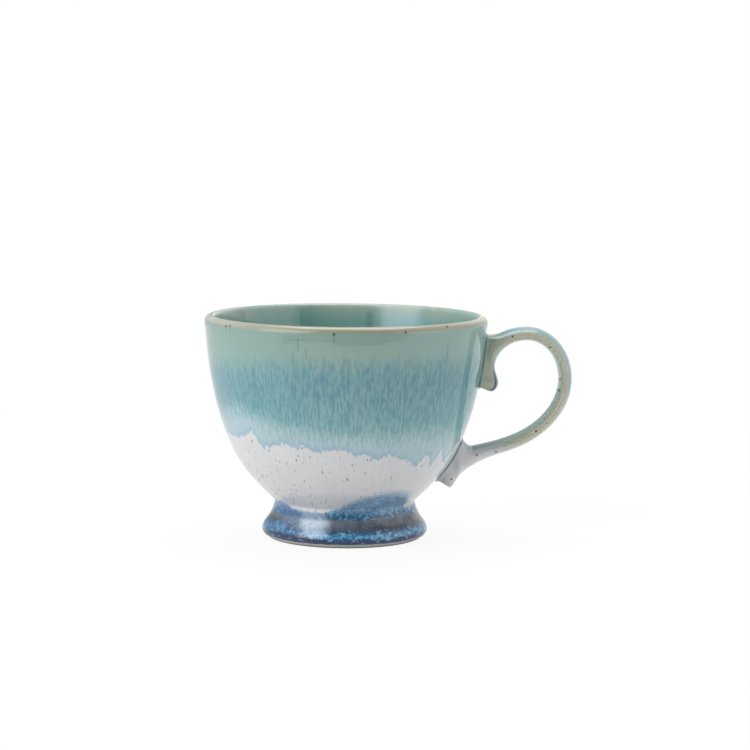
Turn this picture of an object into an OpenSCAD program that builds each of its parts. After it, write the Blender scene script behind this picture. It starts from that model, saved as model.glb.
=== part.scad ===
// Footed stoneware tea cup: a round bowl on a flared, hollow foot, with a C-scroll handle.
// The origin is on the cup's axis in the plane that the foot stands on. The handle lies along +X.
// Lengths are millimetres and angles are degrees.

/* [Bowl] */
// Outside diameter at the rim
rim_d = 110; // [100:0.5:122]
// Height from the table to the crest of the lip
cup_h = 86.7; // [80:0.1:96]
// Lean of the wall out of the vertical, just below the lip
rim_lean = 4; // [1:0.5:8]
// Outside diameter at the hip, where the belly turns up into the wall
hip_d = 87.2; // [84:0.5:91]
// Height of the hip above the table
hip_h = 34; // [32:0.5:36]
// Slope of the wall at the hip, above the horizontal
hip_slope = 64; // [61:1:68]
// Slope of the belly where it leaves the waist, above the horizontal
belly_slope = 43; // [38:1:48]
// Thickness of the wall at the lip, at the hip and at the waist
wall = 4; // [3.4:0.1:4.8]
// Lean of the inside out of the vertical just below the lip, which fills the wall out between lip and hip
inside_lean = 8; // [5:0.5:10]
// Outer rounding of the lip
lip_r = 2.6; // [1.8:0.1:3]
// Rounding between the wall and the floor, inside the bowl
floor_r = 12; // [8:0.5:15]
// Thickness of the floor over the hollow of the foot
floor_t = 4.5; // [3.5:0.1:6]

/* [Foot] */
// Diameter of the waist, where the foot meets the bowl
waist_d = 54.8; // [52:0.2:57]
// Height of the waist above the table
waist_h = 14.4; // [13.5:0.1:15.5]
// Diameter of the flare where it turns from hollow to full
flare_d = 59.5; // [58.5:0.1:60.5]
// Height of that turn above the table
flare_h = 7.9; // [7.4:0.1:8.4]
// Outside diameter of the foot at its widest
foot_d = 64.6; // [63:0.2:67]
// Rounding of the foot's lower edge
foot_edge_r = 2.7; // [2.2:0.1:3]
// Height of the bare clay ring that the cup stands on
ring_h = 1.2; // [0.8:0.1:1.5]
// Inset of the bare ring behind the glazed edge
ring_inset = 0.5; // [0.3:0.1:0.9]
// Width of the ring's standing face
ring_w = 4.2; // [3:0.1:5]
// Draft of the foot's inside wall, from the ring to the hollow's roof
hollow_draft = 2.5; // [1:0.1:3.5]
// Rounding at the roof of the hollow
hollow_r = 3; // [2:0.1:4]

/* [Handle strap] */
// Width of the strap, across the cup's side
strap_w = 12; // [10:0.1:14]
// Thickness of the strap round the loop
strap_t = 5.3; // [4.4:0.1:6.2]
// Reach of the handle beyond the rim
handle_reach = 33.2; // [30:0.1:37]
// Drop of the loop's outermost point below the lip
bend_drop = 24.4; // [22:0.1:27]
// Distance of the loop's crown beyond the rim
crown_out = 15.5; // [14:0.1:17]
// Drop of the crown below the lip
crown_drop = 4.2; // [3.4:0.1:6]
// Distance beyond the rim of the shoulder, where the strap's inner face springs from the scroll
shoulder_out = 8.4; // [7.6:0.1:9.4]
// Drop of the shoulder below the lip
shoulder_drop = 11.4; // [10.8:0.1:12.4]
// Distance beyond the wall at which the strap's lower run begins
run_out = 19.6; // [17:0.1:22]
// Height of the run's inner face there
run_h = 40.4; // [39:0.1:42]

/* [Handle scroll] */
// Distance that the neck of the scroll stands out from the wall
neck_out = 4.9; // [4:0.1:5.8]
// Drop of the neck below the lip
neck_drop = 19.7; // [18.7:0.1:20.7]
// Distance that the scroll's knob stands out from the wall
knob_out = 7.4; // [6.6:0.1:8.4]
// Height of the knob's fullest point above the scroll's lowest point
knob_h = 3.6; // [2.6:0.1:4]
// Width of the knob, across the cup's side
knob_w = 9.6; // [8:0.1:11]
// Drop of the scroll's lowest point below the lip
scroll_drop = 29.7; // [28:0.1:31]
// Distance of that point behind the knob's fullest point
scroll_tuck = 2.3; // [1.6:0.1:3]
// Rise of the scroll's underside from that point into the wall
scroll_rise = 2.4; // [1:0.1:3]

/* [Handle foot] */
// Height of the lower root's upper face, where it nears the wall
root_h = 35.7; // [34.7:0.1:36.7]
// Distance of that place from the wall
root_out = 5.4; // [4.8:0.1:6]
// Thickness of the lower root
root_t = 7.1; // [6.4:0.1:7.8]
// Rounding between the lower root and the wall, under the loop
fillet = 2.4; // [1.8:0.1:3]
// Height at which the underside turns down into the spur
heel_h = 23.7; // [23:0.1:24.5]
// Distance of that turn from the wall
heel_out = 8; // [7.5:0.1:8.6]
// Height of the spur's tip
spur_h = 18.9; // [18:0.1:19.6]
// Distance that the spur's tip stands out from the wall
spur_out = 9; // [8:0.1:10]
// Width of the spur's tip, across the cup's side
spur_w = 5.4; // [4:0.1:7]

/* [Hidden] */
$fn = 180;
// Steps along a curve of the cup's section, round an arc, along a stretch of the handle, and round a
// quarter of the strap
CURVE_STEPS = 14;
ARC_STEPS = 6;
STRETCH_STEPS = 9;
NOSE_STEPS = 5;

function unit(a) = [cos(a), sin(a)];

// Point of the cubic curve that leaves p0 towards p1 and reaches p3 from p2
function cubic(p0, p1, p2, p3, t) =
    pow(1 - t, 3) * p0 + 3 * pow(1 - t, 2) * t * p1 + 3 * (1 - t) * t * t * p2 + pow(t, 3) * p3;

// Every outline is drawn through knots [distance from the axis, height, heading].
// Point of the fair curve between two knots. Its pull is that of a round arc with the same turn, so
// a quarter turn comes out as a quarter of a circle or an oval
function fair(k0, k1, t) =
    let (p0 = [k0.x, k0.y],
         p3 = [k1.x, k1.y],
         turn = abs((k1.z - k0.z + 900) % 360 - 180),
         pull = norm(p3 - p0) / (3 * pow(cos(turn / 4), 2)))
    cubic(p0, p0 + pull * unit(k0.z), p3 - pull * unit(k1.z), p3, t);

// Points of the fair curve through all the knots, without its last point
function through(knots, steps) =
    [for (i = [0:len(knots) - 2]) for (s = [0:steps - 1]) fair(knots[i], knots[i + 1], s / steps)];

// The knot at a distance square to the left of another, with the same heading
function beside(k, distance) = [k.x - distance * sin(k.z), k.y + distance * cos(k.z), k.z];

function turned(k, angle) = [k.x, k.y, k.z + angle];

function arc(centre, r, from, to) =
    [for (i = [0:ARC_STEPS]) centre + r * unit(from + (to - from) * i / ARC_STEPS)];

// All points but the last one, for a stretch that the next one takes up
function open_ended(points) = [for (i = [0:len(points) - 2]) points[i]];

// The bowl in section, from the waist up the outside and back down the inside
rim_r = rim_d / 2;
lip_z = cup_h - lip_r;
waist = [waist_d / 2, waist_h, belly_slope];
hip = [hip_d / 2, hip_h, hip_slope];
rim = [rim_r, lip_z, 90 - rim_lean];
bowl_outside = through([waist, hip, rim], CURVE_STEPS);

// The lip is fuller outside than on the drinking side, which gets what the wall leaves of it
lip_in_r = wall - lip_r;
lip_outside = arc([rim_r - lip_r, lip_z], lip_r, rim_lean, 90);
lip_inside = arc([rim_r - lip_r, cup_h - lip_in_r], lip_in_r, 90, 180 - inside_lean);
inside_top = [lip_inside[ARC_STEPS].x, lip_inside[ARC_STEPS].y, 270 - inside_lean];
bowl_inside = through([inside_top, turned(beside(hip, wall), 180), turned(beside(waist, wall), 180)],
                      CURVE_STEPS);

// The floor rounds off the belly's slope into a level disc
floor_knot = beside(waist, wall);
floor_centre = [floor_knot.x, floor_knot.y] + floor_r * unit(belly_slope + 90);
floor_z = floor_centre.y - floor_r;
bowl_floor = arc(floor_centre, floor_r, belly_slope - 90, -90);

// The foot's outside, from the bare ring up the tucked edge and the flare to the waist
EDGE_TUCK = 45;
WAIST_HEADING = 94;
FLARE_HEADING = 122.5;
edge_z = ring_h + foot_edge_r * sin(EDGE_TUCK);
foot_edge = arc([foot_d / 2 - foot_edge_r, edge_z], foot_edge_r, -EDGE_TUCK, 0);
flare = through([[foot_d / 2, edge_z, 90], [flare_d / 2, flare_h, FLARE_HEADING],
                 [waist.x, waist_h, WAIST_HEADING]], CURVE_STEPS / 2);

// The bare ring tapers to its standing face, and the foot is hollow inside it
ring_top_r = foot_edge[0].x - ring_inset;
ring_r = ring_top_r - ring_h;
ring_in_r = ring_r - ring_w;
roof_z = floor_z - floor_t;
roof_r = ring_in_r - hollow_draft;
hollow = concat(arc([roof_r - hollow_r, roof_z - hollow_r], hollow_r, 90, 0),
                [[ring_in_r - ring_h / 2, ring_h], [ring_in_r, 0]]);

// The wall's outside radius at a height, and its heading there
wall_table = [for (p = concat(bowl_outside, [[rim_r, lip_z]])) [p.y, p.x]];
function wall_r(z) = lookup(z, wall_table);
function wall_heading(z) = atan2(2, wall_r(z + 1) - wall_r(z - 1));

// A knot at a distance out from the wall
function off_wall(z, out, heading) = [wall_r(z) + out, z, heading];
// A knot inside the wall, for a root of the handle to grow out of without showing in the bowl
BITE = 0.45;
function rooted(z) = [wall_r(z) - BITE * wall, z, wall_heading(z)];

// Headings of the handle's faces at the places below, and how far the outer face turns past the inner
// one at the shoulder and at the lower root
SCROLL_HEADING = 4;
KNOB_HEADING = 92;
NECK_HEADING = 88;
SHOULDER_HEADING = 33;
SHOULDER_TURN = -8;
RUN_HEADING = -156.5;
ROOT_HEADING = -169;
ROOT_TURN = 20;
FILLET_HEADING = 135;
HEEL_HEADING = -126.5;
SPUR_HEADING = -120;
TIP_HEADING = -145;

// Places along the handle, at its inner face unless they say otherwise
scroll_z = cup_h - scroll_drop;
knob_z = scroll_z + knob_h;
neck_z = cup_h - neck_drop;
crown_z = cup_h - crown_drop;
bend_z = cup_h - bend_drop;
shoulder = [rim_r + shoulder_out, cup_h - shoulder_drop, SHOULDER_HEADING];
crown = [rim_r + crown_out, crown_z - strap_t, 0];
bend = [rim_r + handle_reach - strap_t, bend_z, -90];
run = off_wall(run_h, run_out, RUN_HEADING);
root = off_wall(root_h, root_out, ROOT_HEADING);
fillet_end = off_wall(root_h + fillet, fillet / 5, FILLET_HEADING);
heel = off_wall(heel_h, heel_out, HEEL_HEADING);
spur_tip = off_wall(spur_h, spur_out, TIP_HEADING);
half = strap_w / 2;
face = strap_t / 2;

// The handle's stations, from the scroll's end over the loop to the spur. Each holds the inner face's
// knot, the outer face's knot, and a form: the half width, and how deep the inner and the outer face
// round off. A face that is hidden in the wall stays nearly square
SQUARE = 0.4;
stations = [
    // lowest point of the scroll
    [off_wall(scroll_z, knob_out - scroll_tuck, SCROLL_HEADING), rooted(scroll_z + scroll_rise),
     [knob_w / 2 - 0.8, 2, SQUARE]],
    // knob
    [off_wall(knob_z, knob_out, KNOB_HEADING), rooted(knob_z + scroll_rise / 2),
     [knob_w / 2, 2.8, SQUARE]],
    // neck
    [off_wall(neck_z, neck_out, NECK_HEADING), rooted((neck_z + crown_z) / 2 + 2.4),
     [half - 0.6, 3.4, SQUARE]],
    // shoulder
    [shoulder, turned(beside(shoulder, strap_t + 0.5), SHOULDER_TURN), [half, face, face]],
    // crown
    [crown, beside(crown, strap_t), [half, face, face]],
    // outermost point
    [bend, beside(bend, strap_t), [half, face, face]],
    // start of the lower run
    [run, beside(run, strap_t), [half, face, face]],
    // lower root
    [root, turned(beside(root, root_t), ROOT_TURN), [half, 3.4, 4]],
    // end of the round under the loop
    [fillet_end, heel, [half - 0.3, 3, 5.5]],
    // middle of the spur
    [turned(rooted((root_h + spur_h) / 2 + 3.4), 180), off_wall(spur_h + 2.2, spur_out - 0.2, SPUR_HEADING),
     [half - 1.4, SQUARE, 6]],
    // tip of the spur
    [turned(rooted(spur_h + 4.2), 180), spur_tip, [spur_w / 2, SQUARE, 4]]];
LAST = len(stations) - 2;

function eased(t) = t * t * (3 - 2 * t);
// Share of the full width at a place along a stretch: the handle's two ends are rounded off
ROUND_SHARE = 0.4;
LEAST_SHARE = 0.08;
function rounded(t) =
    max(LEAST_SHARE, t < ROUND_SHARE ? sqrt(1 - pow(1 - t / ROUND_SHARE, 2)) : 1);
function end_share(i, t) = i == 0 ? rounded(t) : i == LAST ? rounded(1 - t) : 1;
// Steps crowd towards the two rounded ends
function paced(i, t) = i == 0 ? t * t : i == LAST ? 1 - pow(1 - t, 2) : t;

// One cross-section of the strap, from the outer face's point a to the inner face's point b: two
// quarter ovals at each face, joined by flats where the band is wide, with half width w
function ring(a, b, w, inner_nose, outer_nose) =
    let (span = norm(b - a),
         along = (b - a) / span,
         squeeze = min(1, span / (inner_nose + outer_nose)),
         quarter = [for (i = [0:NOSE_STEPS]) unit(90 * i / NOSE_STEPS)],
         outer = [for (q = quarter) [outer_nose * squeeze * (1 - q.x), w * q.y]],
         inner = [for (q = quarter) [span - inner_nose * squeeze * (1 - q.y), w * q.x]],
         side = concat(outer, inner))
    concat(
        [for (p = side) [a.x + along.x * p.x, p.y, a.y + along.y * p.x]],
        [for (i = [len(side) - 2:-1:1])
            let (p = side[i]) [a.x + along.x * p.x, -p.y, a.y + along.y * p.x]]);

rings = [for (i = [0:LAST]) for (s = [0:(i == LAST ? STRETCH_STEPS : STRETCH_STEPS - 1)])
    let (from = stations[i],
         to = stations[i + 1],
         t = paced(i, s / STRETCH_STEPS),
         form = from[2] + (to[2] - from[2]) * eased(t))
    ring(fair(from[1], to[1], t), fair(from[0], to[0], t), form[0] * end_share(i, t), form[1], form[2])];

module bowl_and_foot() {
    color([0.62, 0.78, 0.76])
        rotate_extrude()
            polygon(concat([[0, roof_z]], hollow, [[ring_r, 0], [ring_top_r, ring_h]], foot_edge,
                           flare, bowl_outside, open_ended(lip_outside), open_ended(lip_inside),
                           bowl_inside, bowl_floor, [[0, floor_z]]));
}

module handle() {
    n = len(rings[0]);
    m = len(rings);
    sides = [for (i = [0:m - 2]) for (j = [0:n - 1])
        let (a = i * n + j,
             b = i * n + (j + 1) % n)
        each [[a, b, a + n], [b, b + n, a + n]]];
    scroll_cap = [for (j = [n - 1:-1:0]) j];
    spur_cap = [for (j = [0:n - 1]) (m - 1) * n + j];
    color([0.66, 0.76, 0.74])
        polyhedron([for (r = rings) each r], concat([scroll_cap], sides, [spur_cap]));
}

module cup() {
    bowl_and_foot();
    handle();
}

cup();
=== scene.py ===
# %% [markdown]
# # A footed tea cup with a C-scroll handle
#
# This lesson dresses one stoneware tea cup in Blender: a bowl thrown on the wheel, turned to a flared
# foot, with a pulled strap for a handle, and then glazed in layers that ran into each other. The packed
# model gives the frame and the true sizes. The cup is built again here as a finer surface, because the
# glaze needs smooth normals, a rounded crease where the handle meets the wall, and coordinates that
# follow the strap.

import math

import bpy
import numpy as np
from mathutils import Matrix, Vector


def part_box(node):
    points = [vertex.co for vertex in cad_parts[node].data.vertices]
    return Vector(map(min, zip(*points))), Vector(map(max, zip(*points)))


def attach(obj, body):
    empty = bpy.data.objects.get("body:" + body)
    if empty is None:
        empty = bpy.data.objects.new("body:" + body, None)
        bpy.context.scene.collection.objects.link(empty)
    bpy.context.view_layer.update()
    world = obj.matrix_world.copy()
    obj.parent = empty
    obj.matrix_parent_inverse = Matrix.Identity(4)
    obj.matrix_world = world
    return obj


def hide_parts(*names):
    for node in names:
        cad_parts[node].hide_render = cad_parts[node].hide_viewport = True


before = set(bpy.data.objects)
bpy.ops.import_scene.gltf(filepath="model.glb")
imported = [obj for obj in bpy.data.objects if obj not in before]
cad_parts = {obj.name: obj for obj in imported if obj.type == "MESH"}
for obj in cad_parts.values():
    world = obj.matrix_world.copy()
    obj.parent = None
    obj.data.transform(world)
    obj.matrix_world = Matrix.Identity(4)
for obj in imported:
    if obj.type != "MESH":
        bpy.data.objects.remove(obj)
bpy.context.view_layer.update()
MM = 0.001
low, high = (np.array(corner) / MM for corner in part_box("cup"))
print("cup from", low.round(2), "to", high.round(2), "mm")

# %% [markdown]
# ## Outlines as fair curves
#
# A potter judges an outline by a few places and by the way the line runs through them. So each outline
# is a list of knots [distance from the axis, height, heading in degrees]. Between two knots runs a cubic
# curve whose pull is that of a round arc with the same turn, so a quarter turn is a quarter circle.
# A spline through many measured points would work too, but it ripples, and ripples show in a gloss.

# %% Curves through knots
def unit(degrees):
    """The direction at an angle: [cos a, sin a]."""
    return np.array([math.cos(math.radians(degrees)), math.sin(math.radians(degrees))])


def fair(start, end, t):
    """Points at the shares t of the cubic (1-t)^3 p0 + 3(1-t)^2 t p1 + 3(1-t)t^2 p2 + t^3 p3.

    p0 and p3 are the two knots. p1 and p2 lie along their headings, chord / (3 cos^2(turn / 4)) away,
    where the turn between the headings is taken as 0 to 180 degrees.
    """
    p0, p3 = np.array(start[:2]), np.array(end[:2])
    turn = abs((end[2] - start[2] + 900) % 360 - 180)
    pull = np.linalg.norm(p3 - p0) / (3 * math.cos(math.radians(turn / 4)) ** 2)
    p1, p2 = p0 + pull * unit(start[2]), p3 - pull * unit(end[2])
    t = np.asarray(t, float)[:, None]
    return (1 - t) ** 3 * p0 + 3 * (1 - t) ** 2 * t * p1 + 3 * (1 - t) * t**2 * p2 + t**3 * p3


def through(knots, spacing):
    """The fair curve through all the knots, with a point about every spacing mm."""
    pieces = []
    for start, end in zip(knots, knots[1:]):
        chord = math.hypot(end[0] - start[0], end[1] - start[1])
        steps = max(4, round(chord / spacing))
        pieces.append(fair(start, end, np.arange(steps) / steps))
    return np.vstack(pieces)


def arc(centre, radius, from_angle, to_angle, steps=8):
    """Points centre + radius * [cos a, sin a], with a running evenly between the two angles."""
    a = np.radians(np.linspace(from_angle, to_angle, steps + 1))
    return np.array(centre) + radius * np.stack([np.cos(a), np.sin(a)], axis=1)


def beside(knot, distance):
    """The knot at a distance square to the left of another, with the same heading."""
    x, z, heading = knot
    return [x - distance * unit(heading)[1], z + distance * unit(heading)[0], heading]


def turned(knot, angle):
    """The same place with its heading turned."""
    return [knot[0], knot[1], knot[2] + angle]


def blunted(corners, leg):
    """A line through the corners in which each inner corner is a small parabola with legs that long."""
    corners = np.array(corners, float)
    t = np.linspace(0, 1, 4)[:, None]
    line = [corners[:1]]
    for before, corner, after in zip(corners, corners[1:], corners[2:]):
        a = corner + leg * (before - corner) / np.linalg.norm(before - corner)
        b = corner + leg * (after - corner) / np.linalg.norm(after - corner)
        line.append((1 - t) ** 2 * a + 2 * (1 - t) * t * corner + t**2 * b)
    return np.vstack(line + [corners[-1:]])


quarter = fair([10, 0, 90], [0, 10, 180], np.linspace(0, 1, 9))
strays = np.abs(np.hypot(*quarter.T) - 10).max()
print("a quarter turn of 10 mm strays", round(float(strays), 3), "mm from a circle")

# %% [markdown]
# ## The section of the bowl and its foot
#
# A wheel makes one thing well: a section turned round an axis. The whole pot, from the hollow under the
# foot, up the outside, over the lip and down to the floor of the bowl, is one closed outline. The rim's
# radius, the height and the handle's reach come from the frame, and the rest are the pot's own sizes.

# %% Sizes of the bowl and the foot, in millimetres
RIM_R, CUP_H = min(high[1], -low[0]), high[2]
RIM_LEAN, HIP_R, HIP_H, HIP_SLOPE, BELLY_SLOPE = 4, 43.6, 34, 64, 43
WALL, LIP_R, FLOOR_R, FLOOR_T = 4, 2.6, 12, 4.5
INSIDE_LEAN = 8
WAIST_R, WAIST_H, WAIST_HEADING = 27.4, 14.4, 94
FLARE_R, FLARE_H, FLARE_HEADING = 29.75, 7.9, 122.5
FOOT_R, FOOT_EDGE_R, EDGE_TUCK = 32.3, 2.7, 45
RING_H, RING_INSET, RING_W = 1.2, 0.5, 4.2
HOLLOW_DRAFT, HOLLOW_R = 2.5, 3
CORNER_LEG = 0.25
OUTSIDE_STEP, FLARE_STEP, INSIDE_STEP, DISC_STEPS = 0.75, 0.6, 1.5, 6

lip_z = CUP_H - LIP_R
waist = [WAIST_R, WAIST_H, BELLY_SLOPE]
hip = [HIP_R, HIP_H, HIP_SLOPE]
rim = [RIM_R, lip_z, 90 - RIM_LEAN]
bowl_outside = through([waist, hip, rim], OUTSIDE_STEP)
lip_in_r = WALL - LIP_R
lip_outside = arc([RIM_R - LIP_R, lip_z], LIP_R, RIM_LEAN, 90, 12)
lip_inside = arc([RIM_R - LIP_R, CUP_H - lip_in_r], lip_in_r, 90, 180 - INSIDE_LEAN, 8)
lip = np.vstack([lip_outside[:-1], lip_inside[:-1]])
inside_top = [*lip_inside[-1], 270 - INSIDE_LEAN]
bowl_inside = through([inside_top, turned(beside(hip, WALL), 180), turned(beside(waist, WALL), 180)],
                      INSIDE_STEP)

floor_knot = beside(waist, WALL)
floor_centre = np.array(floor_knot[:2]) + FLOOR_R * unit(BELLY_SLOPE + 90)
floor_z = floor_centre[1] - FLOOR_R
bowl_floor = arc(floor_centre, FLOOR_R, BELLY_SLOPE - 90, -90)

edge_z = RING_H + FOOT_EDGE_R * math.sin(math.radians(EDGE_TUCK))
foot_edge = arc([FOOT_R - FOOT_EDGE_R, edge_z], FOOT_EDGE_R, -EDGE_TUCK, 0)
flare = through([[FOOT_R, edge_z, 90], [FLARE_R, FLARE_H, FLARE_HEADING],
                 [WAIST_R, WAIST_H, WAIST_HEADING]], FLARE_STEP)
ring_top_r = foot_edge[0, 0] - RING_INSET
ring_r = ring_top_r - RING_H
ring_in_r = ring_r - RING_W
roof_z = floor_z - FLOOR_T
roof_arc = arc([ring_in_r - HOLLOW_DRAFT - HOLLOW_R, roof_z - HOLLOW_R], HOLLOW_R, 90, 0, 6)
ring_line = blunted([roof_arc[-1], [ring_in_r - RING_H / 2, RING_H], [ring_in_r, 0], [ring_r, 0],
                     [ring_top_r, RING_H], foot_edge[0]], CORNER_LEG)


def disc(edge, steps):
    """Points from the axis out to the edge of a level disc, without the edge itself."""
    return np.stack([np.linspace(0, edge[0], steps, endpoint=False), np.full(steps, edge[1])], axis=1)


section = np.vstack([disc(roof_arc[0], DISC_STEPS), roof_arc[:-1], ring_line[:-1], foot_edge[:-1], flare,
                     bowl_outside, lip, bowl_inside, bowl_floor, disc(bowl_floor[-1], DISC_STEPS)[::-1]])
print("section of", len(section), "points, floor at", round(floor_z, 2), "mm, roof at", round(roof_z, 2))

# %% [markdown]
# ## Turning the section
#
# The outline is carried round the axis on a grid: one direction along the outline, the other round the
# pot. A Screw or Spin modifier would do the same, but the grid lets the steps crowd together where the
# handle meets the wall, which is where the surface later needs fine faces.

# %% Mesh helpers and the turned pot
WELD_GAP = 0.004  # in mm


def turn_section(outline, angles):
    """Every point [r, z] of the outline goes round the axis: x = r cos a, y = r sin a."""
    r, z = outline.T
    x, y = np.outer(np.cos(angles), r), np.outer(np.sin(angles), r)
    return np.stack([x, y, np.broadcast_to(z, x.shape)], axis=-1)


def grid_mesh(name, points, **values):
    """A mesh from a grid of points [row, column], closed from the last row to the first.

    values are numbers on the same grid, kept as attributes. Points that coincide are welded, which
    closes a pole or a zipped end.
    """
    rows, columns = points.shape[:2]
    corner = np.arange(rows * columns).reshape(rows, columns)
    here, after = corner[:, :-1], np.roll(corner, -1, axis=0)[:, :-1]
    quads = np.stack([here, after, after + 1, here + 1], axis=-1).reshape(-1, 4)
    mesh = bpy.data.meshes.new(name)
    mesh.from_pydata(points.reshape(-1, 3) * MM, [], quads.tolist())
    for key, value in values.items():
        attribute = mesh.attributes.new(key, "FLOAT", "POINT")
        attribute.data.foreach_set("value", np.ascontiguousarray(value, np.float32).ravel())
    piece = bpy.data.objects.new(name, mesh)
    bpy.context.scene.collection.objects.link(piece)
    weld = piece.modifiers.new("weld", "WELD")
    weld.merge_threshold = WELD_GAP * MM
    return piece


ROUND_STEPS, CROWDING = 288, 0.72
even = np.linspace(0, 2 * np.pi, ROUND_STEPS, endpoint=False)
around = even - CROWDING * np.sin(even)
section_length = np.concatenate([[0], np.cumsum(np.hypot(*np.diff(section, axis=0).T))])
fall_mm = section_length[section[:, 1].argmax()] - section_length
ring_fall = fall_mm[np.abs(section[:, 1] - RING_H).argmin()]
pot = grid_mesh("pot", turn_section(section, around), fall=np.tile(fall_mm, (ROUND_STEPS, 1)))
print("pot grid", ROUND_STEPS, "x", len(section), "and", round(ring_fall, 1), "mm from crest to bare ring")

# %% [markdown]
# ## The handle
#
# A pulled handle is one flat strap. Here it starts as a scroll laid against the wall, springs over in a
# loop, comes back to the belly and ends in a short spur. It is a loft: two fair rails, one for the face
# inside the loop and one for the face outside it, and a band between them whose edges are quarter ovals.
# Where the band grows out of the pot, its outer rail runs inside the wall.

# %% Places along the handle, in millimetres
STRAP_W, STRAP_T = 12, 5.3
BEND_DROP, CROWN_OUT, CROWN_DROP = 24.4, 15.5, 4.2
SHOULDER_OUT, SHOULDER_DROP, RUN_OUT, RUN_H = 8.4, 11.4, 19.6, 40.4
NECK_OUT, NECK_DROP, KNOB_OUT, KNOB_H, KNOB_W, SCROLL_DROP = 4.9, 19.7, 7.4, 3.6, 9.6, 29.7
SCROLL_TUCK, SCROLL_RISE = 2.3, 2.4
ROOT_H, ROOT_OUT, ROOT_T, FILLET = 35.7, 5.4, 7.1, 2.4
HEEL_H, HEEL_OUT, SPUR_H, SPUR_OUT, SPUR_W = 23.7, 8, 18.9, 9, 5.4
BITE = 0.45
SQUARE = 0.4

wall_line = np.vstack([bowl_outside, [[RIM_R, lip_z]]])
wall_slope = np.gradient(wall_line[:, 0], wall_line[:, 1])


def wall_r(z):
    """Outside radius of the bowl at a height."""
    return np.interp(z, wall_line[:, 1], wall_line[:, 0])


def off_wall(z, out, heading):
    """A knot at a distance out from the wall."""
    return [wall_r(z) + out, z, heading]


def rooted(z, direction=0):
    """A knot inside the wall that follows it upwards, or downwards where direction is 180."""
    heading = math.degrees(math.atan2(2, wall_r(z + 1) - wall_r(z - 1)))
    return [wall_r(z) - BITE * WALL, z, heading + direction]


scroll_z, crown_z = CUP_H - SCROLL_DROP, CUP_H - CROWN_DROP
knob_z, neck_z = scroll_z + KNOB_H, CUP_H - NECK_DROP
shoulder = [RIM_R + SHOULDER_OUT, CUP_H - SHOULDER_DROP, 33]
crown = [RIM_R + CROWN_OUT, crown_z - STRAP_T, 0]
bend = [high[0] - STRAP_T, CUP_H - BEND_DROP, -90]
run = off_wall(RUN_H, RUN_OUT, -156.5)
root = off_wall(ROOT_H, ROOT_OUT, -169)
half, face = STRAP_W / 2, STRAP_T / 2

# Each station: the inner rail's knot, the outer rail's knot, and the band's half width and the depths to
# which its inner and outer faces round off
stations = [
    # scroll's end, knob, neck
    [off_wall(scroll_z, KNOB_OUT - SCROLL_TUCK, 4), rooted(scroll_z + SCROLL_RISE),
     [KNOB_W / 2 - 0.8, 2, SQUARE]],
    [off_wall(knob_z, KNOB_OUT, 92), rooted(knob_z + SCROLL_RISE / 2), [KNOB_W / 2, 2.8, SQUARE]],
    [off_wall(neck_z, NECK_OUT, 88), rooted((neck_z + crown_z) / 2 + 2.4), [half - 0.6, 3.4, SQUARE]],
    # shoulder, crown, outermost point and lower run of the loop
    [shoulder, turned(beside(shoulder, STRAP_T + 0.5), -8), [half, face, face]],
    [crown, beside(crown, STRAP_T), [half, face, face]],
    [bend, beside(bend, STRAP_T), [half, face, face]],
    [run, beside(run, STRAP_T), [half, face, face]],
    # lower root, end of the round under the loop, and the spur
    [root, turned(beside(root, ROOT_T), 20), [half, 3.4, 4]],
    [off_wall(ROOT_H + FILLET, FILLET / 5, 135), off_wall(HEEL_H, HEEL_OUT, -126.5),
     [half - 0.3, 3, 5.5]],
    [rooted((ROOT_H + SPUR_H) / 2 + 3.4, 180), off_wall(SPUR_H + 2.2, SPUR_OUT - 0.2, -120),
     [half - 1.4, SQUARE, 6]],
    [rooted(SPUR_H + 4.2, 180), off_wall(SPUR_H, SPUR_OUT, -145), [SPUR_W / 2, SQUARE, 4]]]
print(len(stations), "stations")

# %% Lofting the strap
RING_GAP, STRAP_POINTS, OVAL_POINTS, END_SHARE = 0.62, 88, 25, 0.4


def rails():
    """Both rails and the band's form at every ring: fair curves between stations, forms eased 3t^2 - 2t^3.

    At the scroll's end and the spur's tip the half width closes like a quarter circle, and the rings
    crowd towards the end. The last result is the number of rings up to each station.
    """
    inner, outer, forms, counts = [], [], [], [0]
    last = len(stations) - 2
    for i, (here, there) in enumerate(zip(stations, stations[1:])):
        chord = max(math.dist(here[k][:2], there[k][:2]) for k in (0, 1))
        t = np.linspace(0, 1, max(8, round(chord / RING_GAP)) + 1)
        t = t**2 if i == 0 else 1 - (1 - t) ** 2 if i == last else t
        t = t if i == last else t[:-1]
        ease = (t * t * (3 - 2 * t))[:, None]
        form = np.array(here[2]) * (1 - ease) + np.array(there[2]) * ease
        from_end = t if i == 0 else 1 - t if i == last else np.ones_like(t)
        form[:, 0] *= np.sqrt(1 - np.clip(1 - from_end / END_SHARE, 0, 1) ** 2)
        inner.append(fair(here[0], there[0], t))
        outer.append(fair(here[1], there[1], t))
        forms.append(form)
        counts.append(len(t))
    return np.vstack(inner), np.vstack(outer), np.vstack(forms), np.cumsum(counts)


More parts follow.
